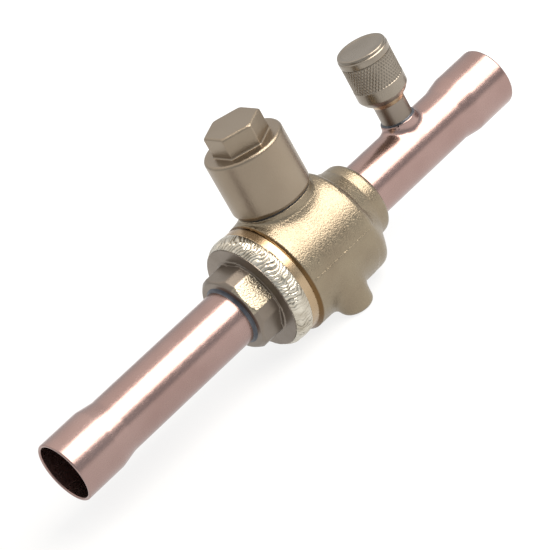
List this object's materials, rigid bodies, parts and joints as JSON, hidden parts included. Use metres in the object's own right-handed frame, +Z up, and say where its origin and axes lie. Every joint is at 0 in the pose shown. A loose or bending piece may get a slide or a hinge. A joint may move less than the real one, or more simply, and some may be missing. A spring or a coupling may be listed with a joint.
{
  "type": "refrigerant service valve",
  "caption": "Quarter-turn refrigerant ball valve with copper tube sockets, a hexagon seal cap over the stem, fixing lugs below and a gauge port with a knurled cap.",
  "frame": {"origin": "midway between the two tapped fixing holes, in the plane of the lugs' feet, straight below the stem axis", "axes": "+X along the flow axis towards the tube with the gauge port, +Z up the stem axis out of the seal cap, -Z out of the fixing holes"},
  "size_m": [0.1644, 0.0338, 0.0578],
  "materials": {
    "forged_brass": "shot-blasted, pale",
    "turned_brass": "turned, satin",
    "copper": "drawn copper, satin",
    "braze_metal": "dull, heat-darkened",
    "weld_metal": "rippled weld",
    "plated_ball": "polished",
    "ptfe": "waxy white PTFE",
    "elastomer": "matt black",
    "steel": "bright",
    "plated_cap": "nickel-plated brass, satin"
  },
  "bodies": {
    "housing": {"valve_body": "forged_brass", "end_connector": "turned_brass", "weld_bead": "weld_metal", "tube_left": "copper", "tube_right": "copper", "braze_left": "braze_metal", "braze_right": "braze_metal", "braze_port": "braze_metal", "seat_left": "ptfe", "seat_right": "ptfe", "seat_oring_left": "elastomer", "seat_oring_right": "elastomer", "thrust_washer": "ptfe", "packing_ring": "ptfe", "gland_nut": "turned_brass", "port_fitting": "turned_brass", "core_body": "turned_brass", "core_seal": "elastomer", "core_spring": "steel"},
    "closure": {"ball": "plated_ball", "stem": "turned_brass", "stem_oring_lower": "elastomer", "stem_oring_upper": "elastomer", "stop_pin": "steel"},
    "seal_cap_seat": {"seal_cap_gasket": "elastomer"},
    "seal_cap_shell": {"seal_cap": "turned_brass"},
    "knurled_cap_seat": {"knurled_cap_seal": "elastomer"},
    "knurled_cap_shell": {"knurled_cap": "plated_cap"},
    "core_plunger": {"core_pin": "steel"}
  },
  "joints": [
    {"name": "stem_turn", "type": "hinge", "parent": "housing", "child": "closure", "pos_m": [0, 0, 0.0173], "axis": [0, 0, -1], "range_deg": [0, 90]},
    {"name": "seal_cap_rise", "type": "slide", "parent": "housing", "child": "seal_cap_seat", "axis": [0, 0, 1], "range_m": [0, 0.01013]},
    {"name": "seal_cap_turn", "type": "hinge", "parent": "seal_cap_seat", "child": "seal_cap_shell", "pos_m": [0, 0, 0.0173], "axis": [0, 0, 1], "range_deg": [0, 2430]},
    {"name": "knurled_cap_rise", "type": "slide", "parent": "housing", "child": "knurled_cap_seat", "axis": [0, 0, 1], "range_m": [0, 0.01111]},
    {"name": "knurled_cap_turn", "type": "hinge", "parent": "knurled_cap_seat", "child": "knurled_cap_shell", "pos_m": [0.0445, 0, 0.0173], "axis": [0, 0, 1], "range_deg": [0, 3150]},
    {"name": "core_press", "type": "slide", "parent": "housing", "child": "core_plunger", "axis": [0, 0, -1], "range_m": [0, 0.0012], "stiffness_N_per_m": 400, "springref_m": -0.002, "deforming": ["core_spring"]}
  ],
  "couplings": [
    {"joint": "seal_cap_rise", "follows": "seal_cap_turn", "m_per_rad": 0.00023873},
    {"joint": "knurled_cap_rise", "follows": "knurled_cap_turn", "m_per_rad": 0.00020213}
  ]
}
